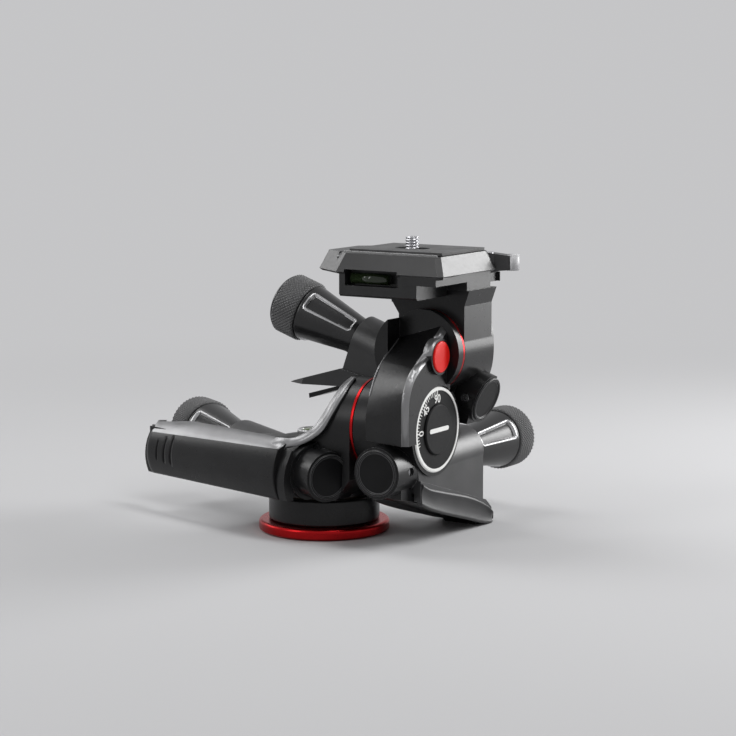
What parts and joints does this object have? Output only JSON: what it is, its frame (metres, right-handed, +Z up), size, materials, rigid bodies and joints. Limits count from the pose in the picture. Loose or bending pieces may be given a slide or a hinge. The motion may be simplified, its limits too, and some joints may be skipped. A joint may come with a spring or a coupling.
{
  "type": "geared tripod head",
  "caption": "Three-way geared tripod head with worm-driven pan and two tilts, squeeze-to-release levers and a quick-release camera plate.",
  "frame": {"origin": "centre of the face that sits on the tripod", "axes": "+Z up along the pan axis, X along the lower tilt axis towards the dial, Y along the upper tilt axis, away from the front of the curved arm"},
  "size_m": [0.1728, 0.1287, 0.1383],
  "materials": {
    "black_satin": "satin black paint",
    "black_plastic": "black technopolymer, fine grain",
    "knob_grey": "dark grey with polished facets",
    "rubber_grey": "grey knurled rubber",
    "red_ring": "red anodised",
    "red_plastic": "gloss red",
    "steel": "bright steel",
    "brass": "bearing bronze and brass gears",
    "dial_black": "black dial with pale ticks",
    "dial_white": "white",
    "grey_satin": "satin grey paint",
    "vial": "tinted level vial",
    "case_grey": "bare ring",
    "pad": "rubber pad"
  },
  "bodies": {
    "base": {"base_flange": "red_ring", "base_neck": "black_satin", "tripod_insert": "brass", "pan_spindle": "steel", "pan_wheel": "brass", "flange_screws": "steel"},
    "pan_body": {"pan_housing": "black_satin", "pan_bush": "brass", "pan_end_cap": "black_plastic", "pan_pivot_pin": "steel", "pan_lever_spring": "steel", "round_level_case": "case_grey", "round_level_vial": "vial", "lower_axle": "steel", "lower_wheel": "brass", "lower_ring": "red_ring", "dial_pointer": "dial_black"},
    "pan_lever_body": {"pan_lever": "black_plastic", "pan_worm_bushes": "brass"},
    "pan_knob_body": {"pan_worm": "steel", "pan_knob": "knob_grey", "pan_grip": "rubber_grey"},
    "middle_body": {"middle_housing": "black_satin", "lower_bush": "brass", "lower_end_cap": "black_plastic", "lower_pivot_pin": "steel", "lower_lever_spring": "steel", "upper_axle": "steel", "upper_wheel": "brass", "upper_ring": "red_ring", "dial_plate": "dial_black", "dial_rim": "dial_white", "red_cap": "red_plastic"},
    "lower_lever_body": {"lower_lever": "black_plastic", "lower_worm_bushes": "brass"},
    "lower_knob_body": {"lower_worm": "steel", "lower_knob": "knob_grey", "lower_grip": "rubber_grey"},
    "top_body": {"top_housing": "black_satin", "upper_bush": "brass", "upper_end_cap": "black_plastic", "upper_pivot_pin": "steel", "upper_lever_spring": "steel", "clamp_body": "black_satin", "clamp_screws": "steel", "level_vials": "vial", "camera_plate": "black_satin", "plate_pad": "pad", "lever_pivot_pin": "steel"},
    "upper_lever_body": {"upper_lever": "black_plastic", "upper_worm_bushes": "brass"},
    "upper_knob_body": {"upper_worm": "steel", "upper_knob": "knob_grey", "upper_grip": "rubber_grey"},
    "quick_lever_body": {"quick_lever": "black_plastic"},
    "catch_body": {"catch_button": "grey_satin"},
    "camera_screw_body": {"camera_screw": "steel"},
    "ring_body": {"d_ring": "steel"}
  },
  "joints": [
    {"name": "pan", "type": "hinge", "parent": "base", "child": "pan_body", "pos_m": [0, 0, 0.0315], "axis": [0, 0, 1], "continuous": true},
    {"name": "pan_release", "type": "hinge", "parent": "pan_body", "child": "pan_lever_body", "pos_m": [0.01111, -0.0229, 0.03033], "axis": [0.0548, -0.0244, 0.9982], "range_deg": [0, 3.8], "stiffness_Nm_per_rad": 3, "springref_deg": -5.73},
    {"name": "pan_knob_turn", "type": "hinge", "parent": "pan_lever_body", "child": "pan_knob_body", "pos_m": [-0.00667, -0.01498, 0.0315], "axis": [-0.9119, 0.406, 0.06], "continuous": true},
    {"name": "lower_tilt", "type": "hinge", "parent": "pan_body", "child": "middle_body", "pos_m": [0.047, 0, 0.051], "axis": [1, 0, 0], "range_deg": [-15, 90]},
    {"name": "lower_release", "type": "hinge", "parent": "middle_body", "child": "lower_lever_body", "pos_m": [0.047, -0.0195, 0.0346], "axis": [-1, 0, 0], "range_deg": [0, 3.8], "stiffness_Nm_per_rad": 3, "springref_deg": -5.73},
    {"name": "lower_knob_turn", "type": "hinge", "parent": "lower_lever_body", "child": "lower_knob_body", "pos_m": [0.047, 0, 0.0346], "axis": [0, 1, 0], "continuous": true},
    {"name": "upper_tilt", "type": "hinge", "parent": "middle_body", "child": "top_body", "pos_m": [0.0484, 0.0335, 0.0844], "axis": [0, 1, 0], "range_deg": [-10, 90]},
    {"name": "upper_release", "type": "hinge", "parent": "top_body", "child": "upper_lever_body", "pos_m": [0.06134, 0.0335, 0.06245], "axis": [0, -1, 0], "range_deg": [0, 3.8], "stiffness_Nm_per_rad": 3, "springref_deg": -5.73},
    {"name": "upper_knob_turn", "type": "hinge", "parent": "upper_lever_body", "child": "upper_knob_body", "pos_m": [0.04295, 0.0335, 0.06893], "axis": [-0.9432, 0, 0.3322], "continuous": true},
    {"name": "quick_lever_turn", "type": "hinge", "parent": "top_body", "child": "quick_lever_body", "pos_m": [0.064, 0.0373, 0.122], "axis": [0, 0, 1], "range_deg": [0, 75]},
    {"name": "catch_press", "type": "slide", "parent": "top_body", "child": "catch_body", "axis": [0, -1, 0], "range_m": [0, 0.0012], "stiffness_N_per_m": 400, "springref_m": -0.001},
    {"name": "camera_screw_turn", "type": "hinge", "parent": "top_body", "child": "camera_screw_body", "pos_m": [0.0405, 0.0104, 0.125], "axis": [0, 0, 1], "continuous": true},
    {"name": "ring_fold", "type": "hinge", "parent": "camera_screw_body", "child": "ring_body", "pos_m": [0.0405, 0.0104, 0.1234], "axis": [-1, 0, 0], "range_deg": [0, 80]}
  ],
  "couplings": [
    {"joint": "pan_knob_turn", "follows": "pan", "ratio": 38},
    {"joint": "lower_knob_turn", "follows": "lower_tilt", "ratio": -38},
    {"joint": "upper_knob_turn", "follows": "upper_tilt", "ratio": -38}
  ]
}
